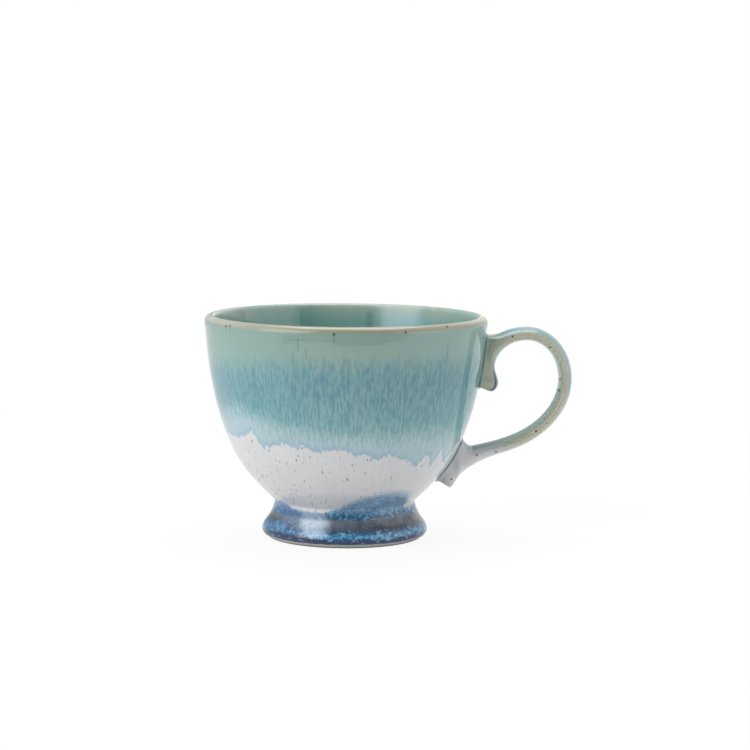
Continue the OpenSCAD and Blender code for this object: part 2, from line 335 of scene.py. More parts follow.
def half_band(span, form):
    """One side of the band, from the outer face's middle to the inner face's middle, as [depth, width].

    Each face is a quarter oval, x = nose (1 - cos a), y = w sin a, and a flat joins them where the band
    is deep. The points are then spread evenly by length.
    """
    width, inner_nose, outer_nose = (form[:, k, None] for k in range(3))
    squeeze = np.minimum(1, span[:, None] / (inner_nose + outer_nose))
    a = np.radians(np.linspace(0, 90, OVAL_POINTS))
    depth = np.hstack([outer_nose * squeeze * (1 - np.cos(a)),
                       span[:, None] - inner_nose * squeeze * (1 - np.sin(a))])
    side = np.hstack([width * np.sin(a), width * np.cos(a)])
    steps = np.hypot(np.diff(depth, axis=1), np.diff(side, axis=1))
    length = np.hstack([np.zeros((len(span), 1)), np.cumsum(steps, axis=1)])
    share = np.linspace(0, 1, STRAP_POINTS // 2 + 1)
    spread = [[np.interp(share * l[-1], l, v) for v in (d, s)] for l, d, s in zip(length, depth, side)]
    return np.array(spread).transpose(0, 2, 1), length[:, -1]


inner_rail, outer_rail, forms, ring_of_station = rails()
span = np.linalg.norm(inner_rail - outer_rail, axis=1)
side, side_length = half_band(span, forms)
band = np.concatenate([side, side[:, -2:0:-1] * [1, -1]], axis=1)
along = (inner_rail - outer_rail) / span[:, None]
in_plane = outer_rail[:, None] + along[:, None] * band[:, :, :1]
strap = np.stack([in_plane[..., 0], band[..., 1], in_plane[..., 1]], axis=-1)

share = np.linspace(0, 1, STRAP_POINTS // 2 + 1)
girth_side = (1 - share) * side_length[:, None]
girth_mm = np.hstack([girth_side, girth_side[:, -2:0:-1]])
middle = (inner_rail + outer_rail) / 2
travelled = np.concatenate([[0], np.cumsum(np.linalg.norm(np.diff(middle, axis=0), axis=1))])
STATION_NAMES = ("scroll", "knob", "neck", "shoulder", "crown", "bend", "low run", "root", "round", "spur")
run_at = dict(zip(STATION_NAMES, travelled[ring_of_station[:-1]].round(1).tolist()))
print("strap of", len(strap), "rings,", round(travelled[-1], 1), "mm long, stations at", run_at)

# %% [markdown]
# ## The crease where the handle meets the wall
#
# A maker welds the strap on with slip and wipes the join round, and glaze pools in it. Two shells that
# only cross would show a hard line. So the strap's surface is spread sideways as it nears the wall, by
# the offset of a quarter circle, and lands on the wall without an angle. Then both shells are joined
# into one skin. A bevel on the join would be simpler, but it fails on edges this short.

# %% Spreading the strap at the wall
CREASE_R, SPUR_CREASE_R = 1.3, 2.8


def off_the_wall(points):
    """Distance outside the bowl's wall and the wall's outward direction there.

    distance = (radius - wall radius) / sqrt(1 + s^2) and direction = [x/r, y/r, -s] / sqrt(1 + s^2),
    where s is the wall's change of radius with height.
    """
    x, y, z = np.moveaxis(points, -1, 0)
    radius = np.maximum(np.hypot(x, y), 1e-6)
    slope = np.interp(z, wall_line[:, 1], wall_slope)
    scale = 1 / np.sqrt(1 + slope**2)
    away = np.stack([x / radius * scale, y / radius * scale, -slope * scale], axis=-1)
    return (radius - wall_r(z)) * scale, away


def facing(points):
    """Outward directions of a grid closed in its first direction: the cross product of its two steps."""
    round_step = np.roll(points, -1, axis=0) - np.roll(points, 1, axis=0)
    along_step = np.gradient(points, axis=1)
    normal = np.cross(round_step, along_step)
    return normal / np.maximum(np.linalg.norm(normal, axis=-1, keepdims=True), 1e-9)


strap = strap.transpose(1, 0, 2)[::-1]
girth_mm = girth_mm.T[::-1]
distance, away = off_the_wall(strap)
normal = facing(strap)
sideways = normal - (normal * away).sum(-1, keepdims=True) * away
to_end = np.clip((travelled - run_at["spur"]) / (travelled[-1] - run_at["spur"]), 0, 1)
crease_r = CREASE_R + (SPUR_CREASE_R - CREASE_R) * to_end**2
near = np.clip(distance, 0, crease_r)
spread = crease_r - np.sqrt(crease_r**2 - (crease_r - near) ** 2)
strap = strap + sideways * spread[..., None]
strap[:, [0, -1], 1] = 0
print("strap spreads up to", round(float(spread.max()), 2), "mm at the wall")

# %% Joining pot and handle into one skin
run_grid = np.broadcast_to(travelled, girth_mm.shape)
handle = grid_mesh("handle", strap, strap=np.ones_like(girth_mm), girth=girth_mm, run=run_grid,
                   fall=CUP_H - strap[..., 2])


def settle(piece):
    """Puts what the piece's modifiers make into its mesh."""
    seen = piece.evaluated_get(bpy.context.evaluated_depsgraph_get())
    mesh = bpy.data.meshes.new_from_object(seen)
    piece.modifiers.clear()
    piece.data = mesh
    return mesh


for shell in (pot, handle):
    settle(shell)
join = pot.modifiers.new("join", "BOOLEAN")
join.operation, join.solver, join.object = "UNION", "MANIFOLD", handle
settle(pot)
bpy.data.objects.remove(handle)
cup = pot
cup.name = "glazed_cup"
print("one skin with", len(cup.data.polygons), "faces, attributes", [a.name for a in cup.data.attributes])

# %% Distance from the crease
CREASE_REACH, AT_SEAM, ON_WALL = 5, 0.25, 0.5
PARTS = 40  # the distances are worked out in parts, because the whole table would not fit in memory
vertex_count = len(cup.data.vertices)
spots = np.empty(vertex_count * 3, np.float32)
cup.data.vertices.foreach_get("co", spots)
spots = spots.reshape(-1, 3) / MM
on_strap = np.empty(vertex_count, np.float32)
cup.data.attributes["strap"].data.foreach_get("value", on_strap)
off_wall_mm = off_the_wall(spots)[0]
join_low, join_high = np.array([[30, -14, SPUR_H - 4], [60, 14, crown_z]])
nearby = ((spots > join_low) & (spots < join_high)).all(axis=1)
seam = spots[nearby & (on_strap > 0.5) & (off_wall_mm < AT_SEAM)]
beside_strap = np.flatnonzero(nearby & (on_strap < 0.5) & (np.abs(off_wall_mm) < ON_WALL))
crease_mm = np.where(on_strap > 0.5, np.clip(off_wall_mm, 0, CREASE_REACH), CREASE_REACH)
crease_mm = crease_mm.astype(np.float32)
for part in np.array_split(beside_strap, PARTS):
    apart = np.linalg.norm(spots[part, None] - seam[None], axis=2).min(axis=1)
    crease_mm[part] = np.minimum(apart, CREASE_REACH)
cup.data.attributes.new("crease", "FLOAT", "POINT").data.foreach_set("value", crease_mm)
cup.data.shade_smooth()
print(len(seam), "seam points,", len(beside_strap), "wall points beside the strap")

# %% [markdown]
# ## Writing a glaze as sums
#
# A glaze is a recipe: this much of one colour where the wall is steep, that much where it pooled. Such a
# recipe reads best as sums, so a small class wraps a socket and lets Python's own signs add the nodes.
# The same tree could be wired by hand in the Shader Editor, but it would be hard to read back.

# %% Fields over a surface
class Field:
    """A number, colour or direction that changes over a surface: one output socket of a node.

    A sum of numbers adds Math nodes. A sum with a colour or a direction adds Vector Math nodes, because
    a Math node would turn a colour grey.
    """

    tree = None

    def __init__(self, socket):
        self.socket = socket

    @classmethod
    def node(cls, kind, settings=None, inputs=None, output=0):
        """One node of any type: its settings are set first, then values or links for its sockets."""
        node = cls.tree.nodes.new("ShaderNode" + kind)
        settings = dict(settings or {})
        stops = settings.pop("stops", [])
        easing = settings.pop("easing", "LINEAR")
        for key, value in settings.items():
            setattr(node, key, value)
        if stops:
            ramp = node.color_ramp
            ramp.interpolation = easing
            ramp.elements.remove(ramp.elements[1])
            ramp.elements[0].position, ramp.elements[0].color = stops[0]
            for position, colour in stops[1:]:
                ramp.elements.new(position).color = colour
        for key, value in (inputs or {}).items():
            if isinstance(value, cls):
                cls.tree.links.new(value.socket, node.inputs[key])
            else:
                node.inputs[key].default_value = value
        return cls(node.outputs[output]) if node.outputs else None

    @staticmethod
    def _wide(value):
        """Whether a value is a field with three parts."""
        return isinstance(value, Field) and value.socket.type in ("VECTOR", "RGBA")

    @classmethod
    def maths(cls, operation, *values):
        """One Math node, or one Vector Math node where a value is a colour or a direction."""
        if not any(cls._wide(v) for v in values):
            return cls.node("Math", {"operation": operation}, dict(enumerate(values)))
        even = [v if isinstance(v, (cls, tuple)) else (v, v, v) for v in values]
        return cls.node("VectorMath", {"operation": operation}, dict(enumerate(even)))

    def __add__(self, other):
        return self.maths("ADD", self, other)

    __radd__ = __add__

    def __sub__(self, other):
        return self.maths("SUBTRACT", self, other)

    def __rsub__(self, other):
        return self.maths("SUBTRACT", other, self)

    def __mul__(self, other):
        return self.maths("MULTIPLY", self, other)

    __rmul__ = __mul__

    def __truediv__(self, other):
        return self.maths("DIVIDE", self, other)

    def __pow__(self, other):
        return self.maths("POWER", self, other)

    def __abs__(self):
        return self.maths("ABSOLUTE", self)

    def split(self):
        """The three parts of a direction."""
        return [self.node("SeparateXYZ", inputs={0: self}, output=k) for k in range(3)]

    def rises(self, low, high):
        """0 below low, 1 above high, and the smooth step 3t^2 - 2t^3 between them."""
        inputs = {"Value": self, "From Min": low, "From Max": high}
        return self.node("MapRange", {"interpolation_type": "SMOOTHSTEP"}, inputs)

    def falls(self, low, high):
        """1 below low, 0 above high, and a smooth step between them."""
        inputs = {"Value": self, "From Min": low, "From Max": high, "To Min": 1.0, "To Max": 0.0}
        return self.node("MapRange", {"interpolation_type": "SMOOTHSTEP"}, inputs)

    def within(self, start, full, end, gone):
        """A soft window: 0 below start, 1 from full to end, and 0 above gone."""
        return self.rises(start, full) * self.falls(end, gone)

    def sway(self, reach):
        """A noise of 0 to 1 made a shift to both sides: (noise - 0.5) * reach."""
        return (self - 0.5) * reach

    def mix(self, without, with_all):
        """A colour between two, where this field is the share of the second."""
        return self.node("Mix", {"data_type": "RGBA"}, {0: self, 6: without, 7: with_all}, output=2)

    def washed(self, colour, where, strength=1):
        """This colour with another laid over it, as thick as strength says where the mask where is 1."""
        return (where if strength == 1 else where * strength).mix(self, colour)

    def noise(self, detail, roughness):
        """Soft noise of 0 to 1 with one swell to each unit of this direction."""
        inputs = {"Vector": self, "Scale": 1.0, "Detail": detail, "Roughness": roughness}
        return self.node("TexNoise", inputs=inputs)


def stack(x, y, z):
    """A direction from three parts."""
    return Field.node("CombineXYZ", inputs={0: x, 1: y, 2: z})


def kept(name):
    """An attribute of the mesh, as a number."""
    return Field.node("Attribute", {"attribute_name": name}, output="Fac")


def paint(red, green, blue):
    """A colour given in 0 to 255, as light: c / 12.92 for dark parts, else ((c + 0.055) / 1.055)^2.4."""
    c = np.array([red, green, blue]) / 255
    light = np.where(c <= 0.04045, c / 12.92, ((c + 0.055) / 1.055) ** 2.4)
    return (*light.tolist(), 1.0)


print("a grey of 128 is", round(paint(128, 128, 128)[0], 3), "as light")

# %% [markdown]
# ## Where the glazes lie
#
# The cup was dipped three times. A white glaze covers all of it, a celadon was poured over the upper part
# and ran down in teal streaks until it stopped in a ragged edge, and the foot stood in cobalt. Each edge
# is a height that changes round the pot. Those heights are listed as the runs of glaze look, and
# a ramp reads them by the angle round the axis: 0 in front, 90 at the handle and 180 at the back.

# %% Coordinates on the cup
def empty_tree(owner):
    """Clears the nodes of a material or a world, and makes its tree the one that new nodes go into."""
    owner.use_nodes = True
    Field.tree = owner.node_tree
    Field.tree.nodes.clear()
    return owner


def from_axis(x, y):
    """Distance from the upright axis: (x^2 + y^2)^0.5."""
    return (x * x + y * y) ** 0.5


def degrees_round(x, y):
    """The angle round the upright axis: 0 in front, 90 at the handle, -90 at the left, 180 at the back."""
    return Field.maths("ARCTAN2", x, y * -1) * (180 / math.pi)


glaze = empty_tree(bpy.data.materials.new("run_glaze"))
place = Field.node("TexCoord", output="Object") * (1 / MM)
x, y, z = place.split()
radius, angle = from_axis(x, y), degrees_round(x, y)
cos_round, sin_round = x / radius, y / radius
turn_share = angle * (1 / 360) + 0.5
fall, girth, run_mm, crease = kept("fall"), kept("girth"), kept("run"), kept("crease")
on_handle = kept("strap").rises(0.4, 0.6)
inside = fall.falls(-1.0, -0.2)
print("kept on the mesh:", [a.name for a in cup.data.attributes if a.data_type == "FLOAT"])

# %% Places on the cup
STREAK_R = 48  # the wall's radius in mm where the streaks lie, at which noise is as wide as it says
BEFORE_SEAM = (-150, -110)  # masks of the left side fade out here, ahead of the back, where angles jump


def wrapped(width, height):
    """A direction for noise that is as wide and as tall as given, in mm, and meets itself at the back."""
    return stack(cos_round * (STREAK_R / width), sin_round * (STREAK_R / width), z * (1 / height))


def on_left(full, gone):
    """1 at the cup's left, from the angle full to near the back, and 0 in front of the angle gone."""
    return angle.within(*BEFORE_SEAM, full, gone)


def tally(step):
    """Prints how many nodes the glaze has after a step."""
    print("after", step, "the glaze has", len(Field.tree.nodes), "nodes")


tally("the coordinates")

# %% Edges of the runs, as [angle, height in mm]
def edge_height(heights, bottom, top):
    """A height read from a list of [angle, height] by a ramp, as bottom + share * (top - bottom)."""
    stops = [((a + 180) / 360, (*[(h - bottom) / (top - bottom)] * 3, 1)) for a, h in heights]
    ramp = Field.node("ValToRGB", {"stops": stops}, {"Fac": turn_share})
    return Field.node("SeparateXYZ", inputs={0: ramp}) * (top - bottom) + bottom


TEAL_EDGE = [
    (-180, 39), (-150, 36.5), (-125, 41), (-100, 38), (-76, 41.9), (-62, 41.8), (-57, 41.7),
    (-51, 43.8), (-47.4, 45.3), (-44.8, 42.5), (-42.6, 39.3), (-37.3, 40.3), (-30.9, 41.4),
    (-23.2, 39.9), (-19.1, 41.5), (-15.4, 38.8), (-9.7, 40.1), (-0.5, 40.4), (5.4, 38), (10.9, 38.4),
    (14.9, 36.1), (25.9, 37.5), (33, 34.8), (38.3, 32), (44.7, 37.4), (49.9, 30.6), (54.1, 38.2),
    (61.8, 31.8), (69.5, 39.4), (100, 37), (130, 33.5), (180, 39)]
MIST_TOP = [
    (-180, 50), (-140, 47), (-110, 52), (-80, 52), (-66, 53.5), (-51, 56), (-42, 54), (-34, 51.3),
    (-25, 49.2), (-12, 48.6), (2, 48), (15, 47), (38, 47), (47, 47), (56, 45.5), (64, 44), (80, 46),
    (120, 46), (150, 48), (180, 50)]
COBALT_EDGE = [
    (-180, 15.5), (-120, 16.5), (-75, 16.6), (-67, 16.2), (-59, 15.2), (-52, 14.6), (-48, 13.5),
    (-38, 13.1), (-16, 13.1), (-10, 13.8), (-4, 14.9), (0, 16.3), (6.3, 18.1), (12.4, 19.6),
    (18.4, 20.5), (24.5, 21.4), (30.7, 22), (38.5, 21.6), (46.4, 20.4), (51.5, 19.2), (57, 14),
    (66, 13.4), (80, 14), (110, 17), (135, 15), (160, 16.5), (180, 15.5)]
teal_edge = edge_height(TEAL_EDGE, 25, 50)
mist_top = edge_height(MIST_TOP, 40, 60)
cobalt_edge = edge_height(COBALT_EDGE, 10, 25)
print(len(TEAL_EDGE), "heights for the teal edge,", len(MIST_TOP), "for the mist and", len(COBALT_EDGE),
      "for the cobalt edge")

# %% [markdown]
# ## The celadon and its teal streaks
#
# Under the rim the celadon is an even sage green. Lower down it is thick enough to pull into fine upright
# streaks, dark where iron and cobalt gathered and pale between, and it thins to a misty blue before it
# stops. Two ramps by height hold the dark and the pale streaks, and streak noise mixes them. The same noise
# moves the height up and down before the ramps are read, so that the bands interlock like teeth.

# %% Streaks
def by_height(stops, height):
    """A colour read from a list of [height in mm, (red, green, blue)]."""
    ramp = [(h / CUP_H, paint(*colour)) for h, colour in stops]
    return Field.node("ValToRGB", {"stops": ramp}, {"Fac": height * (1 / CUP_H)})


RUNS = [  # height in mm, dark streak, pale streak
    (30, (126, 162, 170), (148, 179, 182)), (44, (114, 156, 162), (136, 172, 172)),
    (50, (93, 144, 151), (124, 165, 167)), (58, (85, 135, 145), (118, 157, 161)),
    (66, (83, 132, 143), (114, 153, 157)), (69, (90, 138, 147), (116, 155, 155)),
    (73, (112, 149, 150), (126, 157, 152)), (76.5, (131, 157, 150), (133, 158, 150)),
    (CUP_H, (131, 156, 145), (131, 156, 145))]
LEFT_RISE = 2.6  # the streaks of the left side are read that many mm higher up
SMUDGE = paint(86, 122, 140)

run_fine = wrapped(0.7, 3.8).noise(0, 0.5)
run_mid = wrapped(1.1, 12).noise(2, 0.55)
run_broad = wrapped(3.4, 16).noise(2, 0.5)
speckle = wrapped(0.72, 2).noise(0, 0.5)
teeth = run_mid.sway(4.5) + run_fine.sway(3.5) + run_broad.sway(4)
streaky_z = z + teeth * z.falls(76, 84) + on_left(-50, -20) * LEFT_RISE
streak = (run_fine * 0.45 + run_mid * 0.3 + speckle * 0.25).rises(0.35, 0.65)
streak = (streak - 0.5) * (1 - on_left(-60, -10) * 0.35) + 0.5
dark_run = by_height([(height, dark) for height, dark, _ in RUNS], streaky_z)
pale_run = by_height([(height, pale) for height, _, pale in RUNS], streaky_z)
celadon = streak.mix(dark_run, pale_run)

smudges = wrapped(2.4, 4.5).noise(2, 0.5).rises(0.56, 0.7) * z.rises(57, 62) * streaky_z.falls(71, 75)
less_left = 1 - on_left(-45, 0) * 0.6
celadon = celadon.washed(SMUDGE, smudges * less_left, strength=0.25)
tally("the teal")

# %% Mist below the streaks, the tints of the sides, and painted shade at the far left
MIST_DARK, MIST_PALE = paint(156, 182, 189), paint(165, 188, 192)
COOL_GAIN, HANDLE_GAIN = (0, 0.06, 0.09), (0.04, 0.05, 0.1)

mist_depth = mist_top - z + run_fine.sway(3.5) + speckle.sway(3.5) + run_mid.sway(4)
celadon = celadon.washed(streak.mix(MIST_DARK, MIST_PALE), mist_depth.rises(-2.5, 8))
cool = on_left(-34, -10) * z.rises(46, 56)
# painted shade: the glaze is made darker at the far left of the wall
far_left_shade = on_left(-74, -56) * 0.14
by_handle = angle.within(15, 35, 75, 95) * z.rises(70, 76)
celadon = celadon * stack(*(by_handle * gain + cool * cool_gain + 1 - far_left_shade
                            for gain, cool_gain in zip(HANDLE_GAIN, COOL_GAIN)))
tally("the mist")

# %% Marks on the celadon, as [angle, top, bottom]
def nearest_mark(marks):
    """From a list of [angle, top, bottom]: how far the nearest mark lies round the wall, and its heights.

    One ramp holds a flat step to each mark: red is the mark's angle, green and blue its two heights.
    """
    stops, start = [], 0.0
    for (angle_here, top, bottom), after in zip(marks, marks[1:] + marks[:1]):
        stops.append((start, ((angle_here + 180) / 360, top / CUP_H, bottom / CUP_H, 1)))
        start = ((angle_here + after[0]) / 2 + 180) / 360
    red, green, blue = Field.node("ValToRGB", {"stops": stops, "easing": "CONSTANT"},
                                  {"Fac": turn_share}).split()
    return abs(turn_share - red) * radius * (2 * math.pi), green * CUP_H, blue * CUP_H


def marked(marks, half_width, softness=0.5):
    """1 on upright marks of that half width in mm, each from its bottom to its top, and 0 beside them."""
    apart, top, bottom = nearest_mark(marks)
    upright = (z - bottom).rises(-softness, softness) * (top - z).rises(-softness, softness)
    return apart.falls(half_width * 0.4, half_width) * upright * (1 - inside)


BLUE_MARKS = [
    (-133, 73, 69), (-96, 71, 66), (-58, 72, 69), (-40, 70, 66), (-29.7, 73, 70), (-19.7, 71, 67),
    (-12, 63, 60), (-5.9, 73.2, 70.4), (0.2, 75, 72.4), (4.9, 65, 61.6), (8.2, 72, 69),
    (16.7, 73.4, 70.2), (28.6, 68.8, 65.4), (34.3, 67.4, 63.8), (40.5, 73, 69.8), (75, 71, 68),
    (108, 73, 68), (150, 70, 66)]
DRIPS = [
    (-147, 85.5, 79), (-112, 85.6, 82), (-55.4, 85.4, 82.2), (-52.6, 85.4, 82.6), (-21.2, 77.4, 71.6),
    (-18.9, 82.6, 77.6), (-15.7, 78.6, 74.4), (-4.6, 84.6, 80.6), (23.6, 85.2, 83.6), (44.3, 79, 73.4),
    (96, 85, 80), (121, 85.6, 78), (166, 85.4, 82)]
BLISTERS = [
    (-147, 85.5, 84.9), (-112, 85.5, 84.8), (-55.4, 85.2, 84.4), (-52.6, 85.4, 84.6), (-4.6, 84.6, 83.8),
    (23.6, 85.2, 84.5), (44, 86.2, 85.6), (121, 85.5, 84.8), (166, 85.4, 84.8)]
blue_marks = marked(BLUE_MARKS, 1.5, 1)
drips = marked(DRIPS, 0.45)
blisters = marked(BLISTERS, 0.6, 0.35)
celadon = celadon.washed(paint(84, 116, 138), blue_marks * less_left, strength=0.38)
print(len(BLUE_MARKS), "blue marks,", len(DRIPS), "drips and", len(BLISTERS), "blisters")

# %% The white glaze with its iron flecks
def cells(direction):
    """Cells of about one unit: the distance from each cell's middle, and two random numbers of the cell."""
    apart, colour = (Field.node("TexVoronoi", inputs={"Vector": direction, "Scale": 1.0}, output=k)
                     for k in ("Distance", "Color"))
    key, tone, _ = colour.split()
    return apart, key, tone


WHITE_THIN, WHITE_THICK, WHITE_RUN = paint(197, 198, 200), paint(208, 208, 210), paint(180, 182, 186)
IRON = paint(98, 92, 90)

fleck, fleck_key, fleck_tone = cells(wrapped(1.5, 2.6))
# flecks are scarcer at the right, at the far left and higher up
scarce = angle.within(-15, 25, 150, 175) * 0.32 + on_left(-90, -65) * 0.3 + z.rises(24, 38) * 0.25 + 0.25
flecks = (fleck - fleck_tone * 0.1).falls(0.06, 0.25) * (fleck_key - scarce).rises(0, 0.03)
cloud = wrapped(13, 9).noise(2, 0.5)
# the white is made darker at the far left too, as painted shade
white = cloud.mix(WHITE_THIN, WHITE_THICK) * (1 - far_left_shade * 0.6)
white = white.washed(WHITE_RUN, run_fine.rises(0.58, 0.72), strength=0.3)
white = white.washed(IRON, flecks * (fleck_tone * 0.5 + 0.32))
tally("the white")

# %% Where the celadon stops
EDGE_BLUE = paint(138, 167, 192)

jag = wrapped(1.05, 16).noise(1.5, 0.5).sway(5) + run_broad.sway(1.5)
above_edge = z - teal_edge + jag
glazed = above_edge.rises(-0.3, 0.3)
celadon = celadon.washed(EDGE_BLUE, above_edge.falls(0.1, 3), strength=0.75)
wall = glazed.mix(white, celadon)
tally("the ragged edge")

# %% [markdown]
# ## Cobalt on the foot
#
# Cobalt is strong: where it lies thick it is nearly black, and where it is thin or has boiled it breaks
# into pale blue specks. On a foot it lies in bands, because it ran down the flare and stood on the edge. A
# ramp by height holds the bands, and its alpha holds how crowded the specks are. A milky patch lies on
# the flare, a little left of the front: in part glaze that boiled most, in part a painted highlight of a
# lamp.

# %% Bands of cobalt
BANDS_TOP = 25
# the grey rows at 7.2 and 10.1 mm are in part a painted reflection of the dim room above the cup
COBALT_BANDS = [  # height in mm, red, green, blue, and how crowded the specks are
    (0, 118, 140, 168, 0), (1.5, 108, 130, 160, 0), (1.9, 22, 44, 84, 0), (2.9, 14, 38, 84, 0.1),
    (3.6, 34, 78, 126, 0.8), (4.6, 52, 108, 156, 1), (5.6, 40, 92, 138, 0.8), (6.3, 60, 80, 108, 0.3),
    (7.2, 84, 92, 106, 0.04), (10.1, 104, 112, 120, 0.03), (11.5, 44, 82, 118, 0.5),
    (13.2, 74, 114, 150, 0.55), (15.5, 110, 140, 170, 0.55), (19, 120, 148, 176, 0.5),
    (BANDS_TOP, 128, 150, 174, 0.4)]
CLIMBS = [  # where the bands climb at the left: angles, heights, and by how many mm
    ((-90, -70, -52, -42), (4.5, 6, 8, 9.5), 1.6), ((-80, -60, -28, -20), (2, 2.8, 4.6, 6), 0.9)]

boil = wrapped(1.2, 0.9).noise(3, 0.65)
pool = wrapped(6, 4).noise(2, 0.5)
banded_z = z + pool.sway(1.2) * z.rises(1, 3) + boil.sway(2.2) * z.rises(2, 3.2)
for angles, heights, climb in CLIMBS:
    banded_z = banded_z - angle.within(*angles) * z.within(*heights) * climb
band_stops = [(height / BANDS_TOP, (*paint(*colour)[:3], crowding))
              for height, *colour, crowding in COBALT_BANDS]
bands, crowd = (Field.node("ValToRGB", {"stops": band_stops}, {"Fac": banded_z * (1 / BANDS_TOP)}, output=k)
                for k in ("Color", "Alpha"))
tally("the bands")

# %% Thick and thin places of the cobalt
THICK, NEARLY_BLACK = paint(40, 50, 74), paint(46, 52, 66)
LILAC, MILK_AND_HIGHLIGHT, PLAIN_BLUE, LICK_BLUE = (paint(122, 146, 186), paint(182, 202, 220), paint(70, 120, 166),
                                      paint(146, 168, 190))

# soft patches by angle and height: one lilac, one dark, one milky that is partly a painted highlight, and the
# band's upper edge at the left
lilac = angle.within(-58, -50, -38, -30) * z.within(5, 7, 9.5, 11)
shaded = angle.within(14, 30, 62, 72) * z.within(6, 7.5, 10, 11)
milky_and_highlight = (angle - z.falls(4.5, 8) * 9).rises(-41, -31) * angle.falls(-20, -8)
milky_and_highlight = milky_and_highlight * (z + boil.sway(3)).rises(3.8, 5) * (z + boil.sway(2)).falls(9.6, 11)
left_top = on_left(-25, -10) * z.rises(9, 11)
licks = wrapped(1.2, 4.5).noise(1.5, 0.6).rises(0.45, 0.65) * z.rises(12, 14)
cobalt = bands.washed(THICK, pool.rises(0.45, 0.7), strength=0.4)
cobalt = cobalt.washed(NEARLY_BLACK, shaded * (pool.rises(0.3, 0.6) * 0.6 + 0.3))
cobalt = cobalt.washed(LILAC, lilac * boil.rises(0.35, 0.65), strength=0.7)
# the milky patch is pale glaze made brighter as a painted highlight of a lamp
cobalt = cobalt.washed(MILK_AND_HIGHLIGHT, milky_and_highlight * boil.rises(0.15, 0.55), strength=0.88)
cobalt = cobalt.washed(PLAIN_BLUE, left_top, strength=0.35)
cobalt = cobalt.washed(LICK_BLUE, licks, strength=0.45)
tally("the cobalt")

# %% Blotches and specks in the cobalt
def shade(mask, shares):
    """What a colour is multiplied by, so that its three parts lose those shares where a mask is 1."""
    return stack(*(1 - mask * share for share in shares))


BLOTCH_BLUE, BLOTCH_PALE = paint(78, 142, 184), paint(134, 190, 216)
SPECK_BLUE, SPECK_PALE = paint(96, 156, 194), paint(168, 212, 228)

blotch = wrapped(2.5, 1.3).noise(2, 0.6)
crowd = crowd * (1 - left_top * 0.5)
blotches = (blotch + crowd * 0.24 - 0.7).rises(-0.14, 0.14)
blotch_paint = blotch.rises(0.4, 0.68).mix(BLOTCH_BLUE, BLOTCH_PALE)
cobalt = cobalt.washed(blotch_paint, blotches * (0.7 - on_left(-48, -34) * 0.22))
cobalt = cobalt * shade(on_left(-56, -42), (0.22, 0.13, 0.07))
speck, speck_key, speck_tone = cells(wrapped(1.05, 0.66))
specks = speck.falls(0.1, 0.55) * (crowd * 0.42 + milky_and_highlight * 0.2 - speck_key).rises(-0.04, 0.04)
cobalt = cobalt.washed(speck_tone.mix(SPECK_BLUE, SPECK_PALE), specks, strength=0.5)
tally("the specks")

# %% Where the cobalt stops
WAIST_EDGE = 13.5  # where the edge lies above that height in mm, the cobalt fades out softly

# haze is how many mm the edge takes to fade
haze = (cobalt_edge - WAIST_EDGE).rises(0, 4) * 1.5 + 0.5 + angle.within(48, 53, 64, 70)
above_cobalt = z - cobalt_edge + pool.sway(1.4) + boil.sway(1.6)
in_cobalt = (above_cobalt / haze).falls(-1, 1)
wall = wall.washed(cobalt, in_cobalt)
tally("the foot")

# %% [markdown]
# ## The inside, the rim and the bare ring
#
# Inside the bowl lies the same celadon, with one bluer run and a thin dark line down the far side. On the
# lip the glaze runs thin and the iron of the clay shows through as a tan line, with a few dark blisters
# that bled downwards. The ring that the cup stands on was wiped clean, and is bare clay.

# %% The inside
INNER = [(0, (96, 136, 135)), (60, (115, 155, 151)), (80, (125, 162, 157)), (84.5, (152, 173, 162)),
         (CUP_H, (176, 190, 180))]
INNER_BLUE, INNER_LINE, LINE_ANGLE = paint(112, 178, 194), paint(70, 116, 122), 169

inner = by_height(INNER, z + run_broad.sway(2))
upper_inside = z.within(45, 70, 82, 85)
blue_run = angle.within(134, 148, 156, 168) * (streak * 0.4 + 0.6)
inner = inner.washed(INNER_BLUE, blue_run * upper_inside, strength=0.5)
inner = inner * shade(angle.within(60, 80, 120, 134) + angle.within(-172, -162, -140, -120),
                      (0.21, 0.09, 0.085))
dark_line = abs(angle - LINE_ANGLE).falls(0.6, 2.6)
inner = inner.washed(INNER_LINE, dark_line * upper_inside, strength=0.35)
wall = wall.washed(inner, inside)
tally("the inside")

# %% The rim with its drips
TAN_TOP, TAN_SIDE, TAN_BELOW = paint(158, 151, 128), paint(164, 161, 143), paint(146, 138, 112)
TAN_LEFT, TAN_FAR_LEFT = paint(184, 190, 176), paint(196, 202, 202)
DRIP, BLISTER = paint(108, 104, 84), paint(58, 50, 42)

tan = fall.rises(0, 1.2).mix(TAN_TOP, TAN_SIDE)
tan = tan.washed(TAN_BELOW, fall.rises(1.6, 3.2))
tan = tan.washed(TAN_LEFT, on_left(-60, -20), strength=0.5)
tan = tan.washed(TAN_FAR_LEFT, on_left(-76, -62), strength=0.5)
rim_fall = fall + wrapped(5, 3).noise(2, 0.5).sway(0.7)
wall = wall.washed(tan, rim_fall.falls(3.1, 3.7) * fall.rises(-0.5, 0.5), strength=0.9)
wall = wall.washed(DRIP, drips, strength=0.4)
wall = wall.washed(BLISTER, blisters, strength=0.9)
tally("the rim")

# %% The bare ring
LOW_DARK_CLAY, PALE_CLAY, CLAY_GRAIN = paint(140, 128, 108), paint(206, 206, 202), paint(160, 154, 144)

grain = (place * 2.2).noise(4, 0.7)
# the bare ring is darker brown in its lowest half millimetre and pale above
clay = z.rises(0.3, 0.8).mix(LOW_DARK_CLAY, PALE_CLAY).washed(CLAY_GRAIN, grain, strength=0.4)
hollow = fall.rises(ring_fall + RING_W + 3, ring_fall + RING_W + 4)
bare = fall.rises(ring_fall - 0.85, ring_fall - 0.65) * (1 - hollow)
wall = wall.washed(clay, bare)
tally("the ring")

